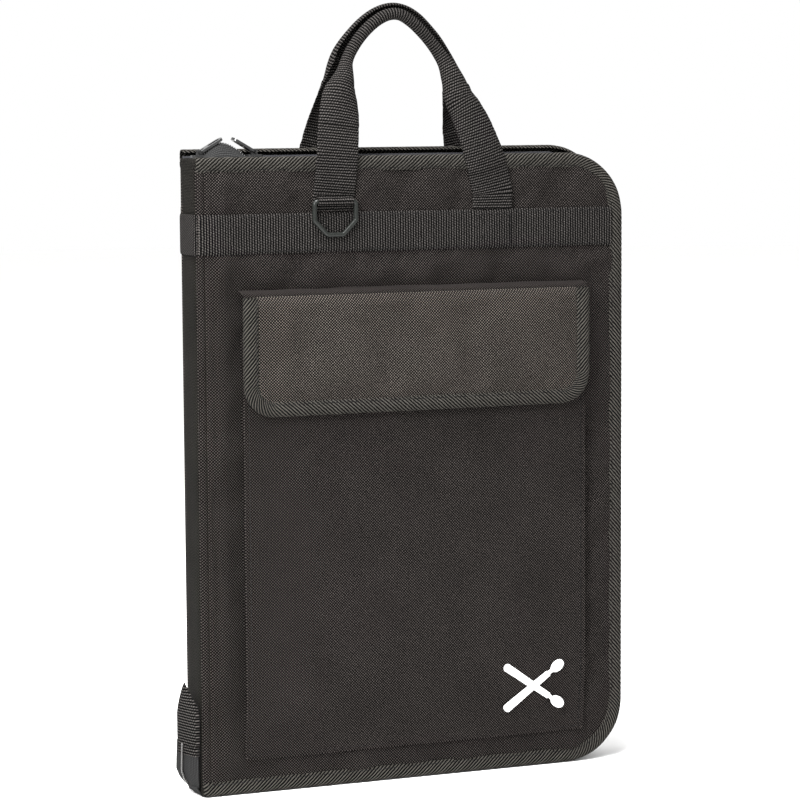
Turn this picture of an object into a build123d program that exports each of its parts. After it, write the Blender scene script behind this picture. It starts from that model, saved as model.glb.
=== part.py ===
from build123d import *
import math
import os

# Book-style drumstick bag, standing on its bottom edge.
# X runs from the spine (-X) to the zip side (+X), -Y is the front, +Z is up.
# All sizes are in millimetres.

# bag
spine_x = -186            # outer face of the spine
cover_left_x = -184.8
cover_width = 380
cover_height = 520
back_rise = 6             # the back cover stands this much above the front one
corner_radius = 52
half_depth = 21           # mid-plane to a cover's outer face
zip_edge_x = spine_x + cover_width

# layers of a cover, from the outside in
fabric = 1.0
foam = 4.0
board = 1.0
lining = 1.0
panel = fabric + foam + board + lining
inner_face = half_depth - panel

# twill edge binding
binding_width = 12
bead_width = 5
bead_inner = inner_face - 0.6
binding_skin = 0.8
seam_gap = 0.1            # between the binding's bead and the layers inside it

# zip
zip_inset = 1.5
tape = 1.2
coil_inset = 0.4
coil = 3.0
coil_gap = 1.2            # mid-plane to the first tooth
coil_edge = 3.4
zip_left_x = -178.5
hump_left_x = -168
hump_mid_x = -156
hump_right_x = -136.5
hump_rise = 12

# sliders and pulls
slider_x = {"left": -175.5, "right": -129}
slider_length = 14
slider_width = 10
slider_plate = 1.8
slider_corner = 3
coil_clearance = 0.4
post_half_length = 2
post_half_width = 0.8
bail_half_length = 2.6
bail_half_width = 1.5
bail_height = 4.2
pin_depth = 1.9           # pull's pin below the top of the bail
pin_radius = 1.0
pin_clearance = 0.08
pin_length = 7.6
pull_length = 24
pull_width = 10
pull_thickness = 2.0
pull_angle = 30
pull_overhang = 2         # pull's end beyond its pin
pull_slot = (11, 5)
pull_slot_middle = 14
pull_fork = (7, 3.8)
pull_fork_middle = 1

# webbing band round the bag
band_low = 442
band_high = 474.5
webbing = 1.8

# handles
handle_x = 2
hinge_z = 489
leg_width = 36
leg_spread = 71
roundness = 0.49          # share of a handle section's thickness
# along each handle: across the bag, out from the cover's face, height, width, thickness
handle_stations = {
    "front": [
        (-69, 2.2, 489.3, 36, 2.6),
        (-67.5, 4.0, 503, 36, 2.6),
        (-66, 5.0, 524, 36, 2.6),
        (-63.5, 3.0, 547, 35.5, 2.6),
        (-60.8, 0.0, 563, 33, 2.8),
        (-58.5, -2.5, 573, 28, 3.4),
        (-55.7, -6.0, 581, 21, 5),
        (-53, -9.5, 589, 13, 8),
        (-50.3, -12.5, 597, 10.5, 10.5),
        (-45, -14.3, 606.5, 10.5, 10.5),
        (-36, -14.6, 618.5, 10.5, 10.5),
        (-25, -14.6, 628.5, 10.5, 10.5),
        (-13.5, -14.6, 634.5, 10.5, 10.5),
        (-3, -14.6, 635, 10.5, 10.5),
        (6.5, -14.6, 630, 10.5, 10.5),
        (16, -14.6, 622, 10.5, 10.5),
        (25, -14.6, 612.5, 10.5, 10.5),
        (32, -14.0, 603.5, 11, 10),
        (36.8, -12.0, 595.5, 13, 8),
        (40.5, -9.5, 587, 17, 6),
        (44, -6.5, 577, 21, 5),
        (47.5, -3.5, 566, 26, 3.6),
        (52, -0.5, 556.5, 29, 3),
        (57, 2.5, 543.5, 32, 2.6),
        (62, 4.5, 528, 34, 2.6),
        (67.5, 4.5, 510.5, 35.5, 2.6),
        (73, 2.2, 489.3, 36, 2.6),
    ],
    "back": [
        (-69, 2.2, 495.3, 36, 2.6),
        (-65, 4.0, 509, 36, 2.6),
        (-61.5, 5.0, 526, 36, 2.6),
        (-57.5, 3.0, 546, 34, 2.6),
        (-54, 0.0, 564, 30, 3),
        (-52, -3.5, 580, 24, 4.4),
        (-51.5, -7.5, 594, 17, 6),
        (-49.5, -11.0, 605, 12.5, 8.5),
        (-42, -13.6, 617, 10.5, 10.5),
        (-31, -14.6, 628.5, 10.5, 10.5),
        (-18.5, -14.6, 636.5, 10.5, 10.5),
        (-5.5, -14.6, 640, 10.5, 10.5),
        (6.5, -14.6, 638, 10.5, 10.5),
        (17, -14.6, 632, 10.5, 10.5),
        (26, -14.6, 623.5, 10.5, 10.5),
        (34.5, -14.4, 614, 10.5, 10.5),
        (41.5, -13.0, 604, 10.5, 10.5),
        (47, -10.5, 594.5, 13, 8),
        (51.5, -7.0, 583.5, 19, 5.4),
        (56, -3.5, 571, 26, 3.6),
        (60, 0.0, 558, 31.5, 2.8),
        (64, 3.0, 545, 35, 2.6),
        (67.5, 4.8, 529, 36, 2.6),
        (71, 4.2, 511, 36, 2.6),
        (73, 2.2, 495.3, 36, 2.6),
    ],
}

# D-rings
ring_x = handle_x - leg_spread
ring_wire = 4.0
ring_half_width = 18
ring_bar_z = 483.5
ring_side_drop = 15.5
ring_drop = 27
ring_flat = 6.9
loop_width = 30
loop_wall = 1.6
loop_clearance = 0.3
ring_bend = 3

# front pocket and its flap
pocket_left = -150
pocket_right = 155
pocket_low = 29
pocket_mouth = 372
pocket_depth = 8
hem = 8
flap_left = -152
flap_right = 156
flap_low = 311
flap_high = 408.5
flap_corner = 26
flap_gap = 2.2            # pocket face to the back of the flap
flap_foam = 2.4
flap_seam = 3             # binding's wrap over the flap's edge
hook_tape = 1.0
hook_tape_low = 322
hook_tape_high = 342
hem_proud = 0.4
welt_depth = 3
welt_low = 409
welt_high = 412.5

# embroidered badge of crossed sticks on the pocket
badge_centre = (106, 71)
badge_length = 66
badge_stroke = 7
badge_tip = 12
badge_turn = 35
badge_proud = 0.8

# inner stick sleeves
sleeve_left = -168
sleeve_right = 152
sleeve_low = 60
sleeve_high = 364
sleeve_reach = 11.8       # lining to the outside of the sleeve sheet
sleeve_count = {"front": 4, "back": 5}
sleeve_hem_proud = 0.5
ply = 1.0

# spine and zip tail
spine_half = 13.1
spine_foam = 5.0
spine_end = 4
spine_end_inset = 0.5
spine_inner_top = 512     # the padding stops here, below the left slider
spine_top_tape = 1.2
corner_gap = 0.2
tail_low = 8
tail_tab_low = 38
tail_tab_high = 92
tail_half_width = 12
tail_coil_half_width = 3
tail_tape_x = (-191, -189.4)
tail_coil_x = (-193, -191)
tail_tab_x = (-194.5, -189)
tail_tab_width = 26
tail_tab_corner = 6
tail_root_x = (-190.5, -186.2)
tail_root_z = (1, 7.4)

SIDES = {"front": -1, "back": 1}


def slab(side, inner, outer):
    """Sketch plane and thickness of a layer between two distances from the mid-plane."""
    y_high = max(side * inner, side * outer)
    return Plane.XZ.offset(-y_high), outer - inner


def cover_shape(height, inset, left):
    """Cover shape: square at the spine, rounded at the two zip corners."""
    right = zip_edge_x - inset
    top = height - inset
    with BuildSketch() as shape:
        with BuildLine():
            FilletPolyline((left, inset), (right, inset), (right, top), (left, top),
                           radius=corner_radius - inset)
            Line((left, top), (left, inset))
        make_face()
    return shape.sketch


def zip_shape(inset, left):
    """Inside of the zip's line, with the slack hump between the sliders at the top left."""
    right = zip_edge_x - inset
    top = cover_height - inset
    with BuildSketch() as shape:
        with BuildLine():
            FilletPolyline((left, inset), (right, inset), (right, top), (hump_right_x, top),
                           radius=corner_radius - inset)
            Spline((hump_right_x, top), (hump_mid_x, top + hump_rise), (hump_left_x, top),
                   tangents=((-1, 0), (-1, 0)))
            Polyline((hump_left_x, top), (left, top), (left, inset))
        make_face()
    return shape.sketch


def block(low, high):
    """Box between two corners."""
    size = [b - a for a, b in zip(low, high)]
    with Locations([tuple((a + b) / 2 for a, b in zip(low, high))]):
        Box(*size)


def cover_layers(name, side, height):
    """Outer fabric, foam, stiffening board and lining of one cover."""
    depths = [half_depth]
    for thickness in (fabric, foam, board, lining):
        depths.append(depths[-1] - thickness)
    insets = {"outer_fabric": bead_width + seam_gap, "foam_pad": bead_width + 1,
              "stiffener_board": bead_width + 3, "lining": bead_width + seam_gap}
    for number, (layer, inset) in enumerate(insets.items()):
        plane, thickness = slab(side, depths[number + 1], depths[number])
        with BuildPart() as sheet:
            with BuildSketch(plane):
                add(cover_shape(height, inset, cover_left_x))
            extrude(amount=thickness)
        sheet.part.label = f"{name}_{layer}"
        export_step(sheet.part, f"parts/{name}_{layer}.step")


def edge_binding(name, side, height):
    """Folded twill tape round the three zip sides: a bead over the edge and a face strip."""
    bead_plane, bead_depth = slab(side, bead_inner, half_depth + binding_skin)
    face_plane, face_depth = slab(side, half_depth, half_depth + binding_skin)
    with BuildPart() as binding:
        with BuildSketch(bead_plane):
            add(cover_shape(height, 0, cover_left_x))
            add(cover_shape(height, bead_width, cover_left_x - 1), mode=Mode.SUBTRACT)
        extrude(amount=bead_depth)
        with BuildSketch(face_plane):
            add(cover_shape(height, 0, cover_left_x))
            add(cover_shape(height, binding_width, cover_left_x - 1), mode=Mode.SUBTRACT)
        extrude(amount=face_depth)
    binding.part.label = f"{name}_edge_binding"
    export_step(binding.part, f"parts/{name}_edge_binding.step")


def zip_half(name, side):
    """Half of the zip: its woven tape, and the row of coil teeth on the tape's edge."""
    tape_plane, tape_width = slab(side, coil_edge, bead_inner)
    with BuildPart() as tape_half:
        with BuildSketch(tape_plane):
            add(zip_shape(zip_inset, zip_left_x))
            add(zip_shape(zip_inset + tape, zip_left_x - 1), mode=Mode.SUBTRACT)
        extrude(amount=tape_width)
    tape_half.part.label = f"{name}_zip_tape"
    export_step(tape_half.part, f"parts/{name}_zip_tape.step")

    coil_plane, coil_width = slab(side, coil_gap, coil_edge)
    with BuildPart() as coil_half:
        with BuildSketch(coil_plane):
            add(zip_shape(coil_inset, zip_left_x))
            add(zip_shape(coil_inset + coil, zip_left_x - 1), mode=Mode.SUBTRACT)
        extrude(amount=coil_width)
    coil_half.part.label = f"{name}_zip_coil"
    export_step(coil_half.part, f"parts/{name}_zip_coil.step")


def cover_band(name, side, rise):
    """Webbing band sewn across the cover, from the spine seam to the binding."""
    plane, thickness = slab(side, half_depth, half_depth + webbing)
    right = zip_edge_x - binding_width - 1
    with BuildPart() as band:
        with BuildSketch(plane):
            with Locations(((cover_left_x + right) / 2, (band_low + band_high) / 2 + rise)):
                Rectangle(right - cover_left_x, band_high - band_low)
        extrude(amount=thickness)
    band.part.label = f"{name}_band"
    export_step(band.part, f"parts/{name}_band.step")


def handle_anchors(name, side, rise):
    """Sewn-down ends of the handle, which come up from under the band."""
    plane, thickness = slab(side, half_depth, half_depth + webbing)
    height = hinge_z - band_high
    with BuildPart() as anchors:
        with BuildSketch(plane):
            with Locations(*[(handle_x + end * leg_spread, band_high + rise + height / 2)
                             for end in (-1, 1)]):
                Rectangle(leg_width, height)
        extrude(amount=thickness)
    anchors.part.label = f"{name}_handle_anchors"
    export_step(anchors.part, f"parts/{name}_handle_anchors.step")


def handle(name, side):
    """Webbing handle: flat legs that roll into a round grip, lofted through its stations."""
    stations = handle_stations[name]
    spots = [Vector(x, side * (half_depth + out), z) for x, out, z, width, thickness in stations]
    with BuildPart() as webbing_handle:
        for number, (x, out, z, width, thickness) in enumerate(stations):
            along = Vector(0, 0, 1 if number == 0 else -1)
            if 0 < number < len(spots) - 1:
                along = (spots[number + 1] - spots[number - 1]).normalized()
            across = Vector(0, 1, 0).cross(along)
            with BuildSketch(Plane(spots[number], x_dir=across, z_dir=along)):
                RectangleRounded(width, thickness, thickness * roundness)
        loft(ruled=True)
    webbing_handle.part.label = f"{name}_handle"
    export_step(webbing_handle.part, f"parts/{name}_handle.step")


def ring_loop(name, side, rise):
    """Short webbing loop folded over the bar of the D-ring and sewn to the handle's end."""
    wrap = ring_wire / 2 + loop_clearance + loop_wall
    bar_y = side * (half_depth + webbing + wrap)
    bar_z = ring_bar_z + rise
    top = hinge_z + rise - loop_clearance
    with BuildPart() as loop:
        with BuildSketch(Plane.YZ.offset(ring_x - loop_width / 2)):
            with Locations((bar_y, bar_z)):
                Circle(wrap)
            with Locations((bar_y - side * wrap / 2, (bar_z + top) / 2)):
                Rectangle(wrap, top - bar_z)
            with Locations((bar_y, bar_z)):
                Circle(ring_wire / 2 + loop_clearance, mode=Mode.SUBTRACT)
        extrude(amount=loop_width)
    loop.part.label = f"{name}_ring_loop"
    export_step(loop.part, f"parts/{name}_ring_loop.step")


def d_ring(name, side, rise):
    """Bent wire D-ring with a flat bottom, hanging from its straight bar."""
    wrap = ring_wire / 2 + loop_clearance + loop_wall
    bar_y = side * (half_depth + webbing + wrap)
    bar_z = ring_bar_z + rise
    side_z = bar_z - ring_side_drop
    low_z = bar_z - ring_drop
    with BuildPart() as ring:
        with BuildLine(Plane.XZ.offset(-bar_y)) as path:
            FilletPolyline((ring_x + ring_half_width, bar_z), (ring_x + ring_half_width, side_z),
                           (ring_x + ring_flat, low_z), (ring_x - ring_flat, low_z),
                           (ring_x - ring_half_width, side_z), (ring_x - ring_half_width, bar_z),
                           radius=ring_bend, close=True)
        with BuildSketch(Plane(path.wire().location_at(0))):
            Circle(ring_wire / 2)
        sweep(path=path.wire())
    ring.part.label = f"{name}_d_ring"
    export_step(ring.part, f"parts/{name}_d_ring.step")


def stick_sleeves(name, side):
    """Sheet, pleats and bound top edge of the stick sleeves sewn on the lining."""
    sheet_inner = inner_face - sleeve_reach
    count = sleeve_count[name]
    pitch = (sleeve_right - sleeve_left) / count
    height = sleeve_high - sleeve_low
    middle = (sleeve_left + sleeve_right) / 2

    plane, thickness = slab(side, sheet_inner, sheet_inner + ply)
    with BuildPart() as sheet:
        with BuildSketch(plane):
            with Locations((middle, (sleeve_low + sleeve_high) / 2)):
                Rectangle(sleeve_right - sleeve_left + ply, height)
        extrude(amount=thickness)
    sheet.part.label = f"{name}_sleeve_sheet"
    export_step(sheet.part, f"parts/{name}_sleeve_sheet.step")

    plane, thickness = slab(side, sheet_inner + ply, inner_face)
    with BuildPart() as pleats:
        with BuildSketch(plane):
            for number in range(count + 1):
                with Locations((sleeve_left + number * pitch, (sleeve_low + ply + sleeve_high) / 2)):
                    Rectangle(ply, height - ply)
        extrude(amount=thickness)
        with BuildSketch(plane):
            with Locations((middle, sleeve_low + ply / 2)):
                Rectangle(sleeve_right - sleeve_left + ply, ply)
        extrude(amount=thickness)
    pleats.part.label = f"{name}_sleeve_pleats"
    export_step(pleats.part, f"parts/{name}_sleeve_pleats.step")

    plane, thickness = slab(side, sheet_inner - sleeve_hem_proud, sheet_inner + ply + sleeve_hem_proud)
    with BuildPart() as edge:
        with BuildSketch(plane):
            with Locations((middle, sleeve_high + hem / 2)):
                Rectangle(sleeve_right - sleeve_left + ply, hem)
        extrude(amount=thickness)
    edge.part.label = f"{name}_sleeve_hem"
    export_step(edge.part, f"parts/{name}_sleeve_hem.step")


def spine():
    """Padded spine between the covers, its bound ends, its piece of band and the zip's root."""
    low = {"outer_fabric": (spine_x, -half_depth + corner_gap, spine_end),
           "foam_pad": (spine_x + fabric, -spine_half, spine_end),
           "lining": (spine_x + fabric + spine_foam, -spine_half, spine_end)}
    high = {"outer_fabric": (spine_x + fabric, half_depth - corner_gap, cover_height - spine_end),
            "foam_pad": (spine_x + fabric + spine_foam, spine_half, spine_inner_top),
            "lining": (spine_x + panel, spine_half, spine_inner_top)}
    for layer in low:
        with BuildPart() as sheet:
            block(low[layer], high[layer])
        sheet.part.label = f"spine_{layer}"
        export_step(sheet.part, f"parts/spine_{layer}.step")

    with BuildPart() as ends:
        block((spine_x, -spine_half, spine_end_inset), (spine_x + panel, spine_half, spine_end))
        block((spine_x, -spine_half, cover_height - spine_end),
              (spine_x + spine_top_tape, spine_half, cover_height - spine_end_inset))
    ends.part.label = "spine_end_bindings"
    export_step(ends.part, "parts/spine_end_bindings.step")

    with BuildPart() as band:
        block((spine_x - webbing, -half_depth + 2 * corner_gap, band_low),
              (spine_x, half_depth - 2 * corner_gap, band_high))
    band.part.label = "spine_band"
    export_step(band.part, "parts/spine_band.step")

    with BuildPart() as root:
        block((tail_root_x[0], -tail_half_width, tail_root_z[0]),
              (tail_root_x[1], tail_half_width, tail_root_z[1]))
    root.part.label = "zip_tail_root"
    export_step(root.part, "parts/zip_tail_root.step")


def zip_tail():
    """Free end of the zip beyond the spine, closed off by a folded webbing tab."""
    with BuildPart() as tail:
        block((tail_tape_x[0], -tail_half_width, tail_low), (tail_tape_x[1], tail_half_width, tail_tab_low))
        block((tail_coil_x[0], -tail_coil_half_width, tail_low),
              (tail_coil_x[1], tail_coil_half_width, tail_tab_low))
    tail.part.label = "zip_tail_tape"
    export_step(tail.part, "parts/zip_tail_tape.step")

    with BuildPart() as tab:
        with BuildSketch(Plane.YZ.offset(tail_tab_x[0])) as face:
            with Locations((0, (tail_tab_low + tail_tab_high) / 2)):
                Rectangle(tail_tab_width, tail_tab_high - tail_tab_low)
            fillet(face.vertices().group_by(Axis.Y)[-1], tail_tab_corner)
        extrude(amount=tail_tab_x[1] - tail_tab_x[0])
    tab.part.label = "zip_tail_tab"
    export_step(tab.part, "parts/zip_tail_tab.step")


def slider(name):
    """Zip slider: two plates over and under the teeth, a post between them and a bail."""
    x = slider_x[name]
    coil_top = cover_height - coil_inset
    top_plate = coil_top + coil_clearance
    low_plate = coil_top - coil - coil_clearance
    bail_low = top_plate + slider_plate
    bail_high = bail_low + bail_height
    with BuildPart() as body:
        for z in (top_plate, low_plate - slider_plate):
            with BuildSketch(Plane.XY.offset(z)):
                with Locations((x, 0)):
                    RectangleRounded(slider_length, slider_width, slider_corner)
            extrude(amount=slider_plate)
        block((x - post_half_length, -post_half_width, low_plate),
              (x + post_half_length, post_half_width, top_plate))
        block((x - bail_half_length, -bail_half_width, bail_low),
              (x + bail_half_length, bail_half_width, bail_high))
        with Locations(Plane(origin=(x, 0, bail_high - pin_depth), z_dir=(0, 1, 0))):
            Cylinder(pin_radius + pin_clearance, 2 * bail_half_width + 1, mode=Mode.SUBTRACT)
    body.part.label = f"{name}_slider"
    export_step(body.part, f"parts/{name}_slider.step")


def zip_pull(name):
    """Slotted metal pull on a pin through the slider's bail; the pulls lean towards each other."""
    x = slider_x[name]
    toward = 1 if name == "left" else -1
    pin_z = cover_height - coil_inset + coil_clearance + slider_plate + bail_height - pin_depth
    reach = toward * math.cos(math.radians(pull_angle))
    rise = math.sin(math.radians(pull_angle))
    lean = Plane(origin=(x, 0, pin_z), x_dir=(reach, 0, rise), z_dir=(-rise * toward, 0, abs(reach)))
    with BuildPart() as pull:
        with BuildSketch(lean):
            with Locations((pull_length / 2 - pull_overhang, 0)):
                SlotOverall(pull_length, pull_width)
            with Locations((pull_fork_middle, 0)):
                Rectangle(*pull_fork, mode=Mode.SUBTRACT)
            with Locations((pull_slot_middle, 0)):
                SlotOverall(*pull_slot, mode=Mode.SUBTRACT)
        extrude(amount=pull_thickness / 2, both=True)
        with Locations(Plane(origin=(x, 0, pin_z), z_dir=(0, 1, 0))):
            Cylinder(pin_radius, pin_length)
    pull.part.label = f"{name}_pull"
    export_step(pull.part, f"parts/{name}_pull.step")


def front_pocket():
    """Flat pocket on the front cover: sheet, side and bottom gusset, bound mouth, loop tape."""
    face = half_depth + pocket_depth
    middle = (pocket_left + pocket_right) / 2
    width = pocket_right - pocket_left
    with BuildPart() as sheet:
        block((pocket_left, -face - ply, pocket_low), (pocket_right, -face, pocket_mouth))
    sheet.part.label = "pocket_sheet"
    export_step(sheet.part, "parts/pocket_sheet.step")

    with BuildPart() as gusset:
        block((pocket_left, -face, pocket_low + ply), (pocket_left + ply, -half_depth, pocket_mouth))
        block((pocket_right - ply, -face, pocket_low + ply), (pocket_right, -half_depth, pocket_mouth))
        block((pocket_left, -face, pocket_low), (pocket_right, -half_depth, pocket_low + ply))
    gusset.part.label = "pocket_gusset"
    export_step(gusset.part, "parts/pocket_gusset.step")

    with BuildPart() as mouth:
        block((pocket_left, -face - ply - hem_proud, pocket_mouth),
              (pocket_right, -face + hem_proud, pocket_mouth + hem))
    mouth.part.label = "pocket_hem"
    export_step(mouth.part, "parts/pocket_hem.step")

    with BuildPart() as loop_strip:
        block((middle - width / 3, -face - ply - hook_tape, hook_tape_low),
              (middle + width / 3, -face - ply, hook_tape_high))
    loop_strip.part.label = "pocket_loop_tape"
    export_step(loop_strip.part, "parts/pocket_loop_tape.step")

    with BuildPart() as badge:
        with BuildSketch(Plane.XZ.offset(face + ply)):
            with Locations(badge_centre):
                for turn in (-badge_turn, badge_turn):
                    with Locations(Location((0, 0), turn)):
                        SlotOverall(badge_length, badge_stroke)
                        with Locations((badge_length / 2 - badge_tip / 2, 0)):
                            Ellipse(badge_tip / 2 + 1, badge_tip / 2 - 0.6)
        extrude(amount=badge_proud)
    badge.part.label = "pocket_badge"
    export_step(badge.part, "parts/pocket_badge.step")


def flap_shape(inset, top):
    """Flap shape: straight along the hinge, rounded at its two lower corners."""
    left = flap_left + inset
    right = flap_right - inset
    low = flap_low + inset
    with BuildSketch() as shape:
        with BuildLine():
            FilletPolyline((left, top), (left, low), (right, low), (right, top),
                           radius=flap_corner - inset)
            Line((right, top), (left, top))
        make_face()
    return shape.sketch


def pocket_flap():
    """Padded flap over the pocket's mouth, hinged on its upper edge."""
    back = half_depth + pocket_depth + ply + flap_gap
    middle = (pocket_left + pocket_right) / 2
    width = pocket_right - pocket_left
    levels = [("flap_lining", back, lining), ("flap_foam_pad", back + lining, flap_foam),
              ("flap_outer_fabric", back + lining + flap_foam, fabric)]
    for label, start, thickness in levels:
        with BuildPart() as sheet:
            with BuildSketch(Plane.XZ.offset(start)):
                add(flap_shape(flap_seam, flap_high))
            extrude(amount=thickness)
        sheet.part.label = label
        export_step(sheet.part, f"parts/{label}.step")

    face = back + lining + flap_foam + fabric
    with BuildPart() as binding:
        with BuildSketch(Plane.XZ.offset(back)):
            add(flap_shape(0, flap_high))
            add(flap_shape(flap_seam, flap_high + 1), mode=Mode.SUBTRACT)
        extrude(amount=face - back + binding_skin)
        with BuildSketch(Plane.XZ.offset(face)):
            add(flap_shape(0, flap_high))
            add(flap_shape(binding_width, flap_high + 1), mode=Mode.SUBTRACT)
        extrude(amount=binding_skin)
    binding.part.label = "flap_edge_binding"
    export_step(binding.part, "parts/flap_edge_binding.step")

    with BuildPart() as hook_strip:
        block((middle - width / 3, -back, hook_tape_low),
              (middle + width / 3, -back + hook_tape, hook_tape_high))
    hook_strip.part.label = "flap_hook_tape"
    export_step(hook_strip.part, "parts/flap_hook_tape.step")

    with BuildPart() as welt:
        block((flap_left, -half_depth - welt_depth, welt_low), (flap_right, -half_depth, welt_high))
    welt.part.label = "flap_seam_welt"
    export_step(welt.part, "parts/flap_seam_welt.step")


os.makedirs("parts", exist_ok=True)
for name, side in SIDES.items():
    rise = back_rise if name == "back" else 0
    cover_layers(name, side, cover_height + rise)
    edge_binding(name, side, cover_height + rise)
    zip_half(name, side)
    cover_band(name, side, rise)
    handle_anchors(name, side, rise)
    handle(name, side)
    ring_loop(name, side, rise)
    d_ring(name, side, rise)
    stick_sleeves(name, side)
spine()
zip_tail()
for name in slider_x:
    slider(name)
    zip_pull(name)
front_pocket()
pocket_flap()
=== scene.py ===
import math
import bpy
import bmesh
import numpy as np
from mathutils import Matrix, Vector


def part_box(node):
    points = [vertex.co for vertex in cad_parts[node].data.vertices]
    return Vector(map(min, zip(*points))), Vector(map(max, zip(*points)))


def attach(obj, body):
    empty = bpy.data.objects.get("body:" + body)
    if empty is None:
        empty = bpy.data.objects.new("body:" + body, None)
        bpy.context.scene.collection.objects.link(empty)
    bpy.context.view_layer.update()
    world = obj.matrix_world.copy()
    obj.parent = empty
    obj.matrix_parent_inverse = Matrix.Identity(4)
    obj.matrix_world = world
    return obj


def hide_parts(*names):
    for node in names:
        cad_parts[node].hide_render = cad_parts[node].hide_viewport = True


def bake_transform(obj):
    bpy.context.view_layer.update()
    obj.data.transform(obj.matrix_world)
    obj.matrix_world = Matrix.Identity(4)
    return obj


# Padded drumstick bag that opens like a book, standing on its bottom edge.
# Metres; X runs from the spine to the zip side, -Y is the front, Z is up.
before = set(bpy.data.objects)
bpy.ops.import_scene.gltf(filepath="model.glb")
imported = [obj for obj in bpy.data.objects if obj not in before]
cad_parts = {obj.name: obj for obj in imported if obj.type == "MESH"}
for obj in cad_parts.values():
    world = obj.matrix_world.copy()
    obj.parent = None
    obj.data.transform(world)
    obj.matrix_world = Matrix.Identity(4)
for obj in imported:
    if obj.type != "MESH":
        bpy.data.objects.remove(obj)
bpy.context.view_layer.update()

# ---------------------------------------------------------------- camera, lights and floor
# A long lens from the front left, a little above the middle of the bag, in soft studio light.
camera_data = bpy.data.cameras.new("camera")
camera_data.lens = 134.8
camera_data.sensor_width = 36
camera = bpy.data.objects.new("camera", camera_data)
bpy.context.scene.collection.objects.link(camera)
camera.matrix_world = (Matrix.Translation((-0.9569, -2.2939, 0.5668))
                       @ Matrix.Rotation(math.radians(-22.6), 4, "Z")
                       @ Matrix.Rotation(math.radians(84.24), 4, "X")
                       @ Matrix.Rotation(math.radians(-0.35), 4, "Z"))
bpy.context.scene.camera = camera
bpy.context.scene.view_settings.view_transform = "Standard"

world = bpy.data.worlds.new("studio")
bpy.context.scene.world = world
world.use_nodes = True
world.node_tree.nodes["Background"].inputs["Color"].default_value = (1, 1, 1, 1)
world.node_tree.nodes["Background"].inputs["Strength"].default_value = 1.0

def area_light(name, place, target, size, power):
    """Square soft box at place, facing target."""
    data = bpy.data.lights.new(name, "AREA")
    data.size = size
    data.energy = power
    lamp = bpy.data.objects.new(name, data)
    bpy.context.scene.collection.objects.link(lamp)
    lamp.location = place
    lamp.rotation_euler = (Vector(target) - Vector(place)).to_track_quat("-Z", "Y").to_euler()

area_light("key", (-1.2, -1.05, 1.3), (-0.1, 0, 0.35), 0.6, 62)
area_light("fill", (1.8, -2.2, 1.0), (0, 0, 0.3), 1.5, 2)
area_light("top", (-0.35, -0.35, 1.9), (0, 0, 0.3), 0.7, 78)

floor_mesh = bpy.data.meshes.new("floor")
ring = [(9 * math.cos(a * math.pi / 32), 9 * math.sin(a * math.pi / 32), 0) for a in range(64)]
floor_mesh.from_pydata(ring, [], [tuple(range(64))])
floor = bpy.data.objects.new("floor", floor_mesh)
bpy.context.scene.collection.objects.link(floor)
paper = bpy.data.materials.new("pale_paper")
paper.use_nodes = True
paper.node_tree.nodes["Principled BSDF"].inputs["Base Color"].default_value = (0.985, 0.985, 0.98, 1)
paper.node_tree.nodes["Principled BSDF"].inputs["Roughness"].default_value = 0.95
floor_mesh.materials.append(paper)

# ---------------------------------------------------------------- covers
# Each cover is coarse woven cloth over foam and a thin board, held at the binding, the spine seam
# and the band, so it puckers softly between them. The stitched roll beside the spine stands up
# the most.

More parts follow.
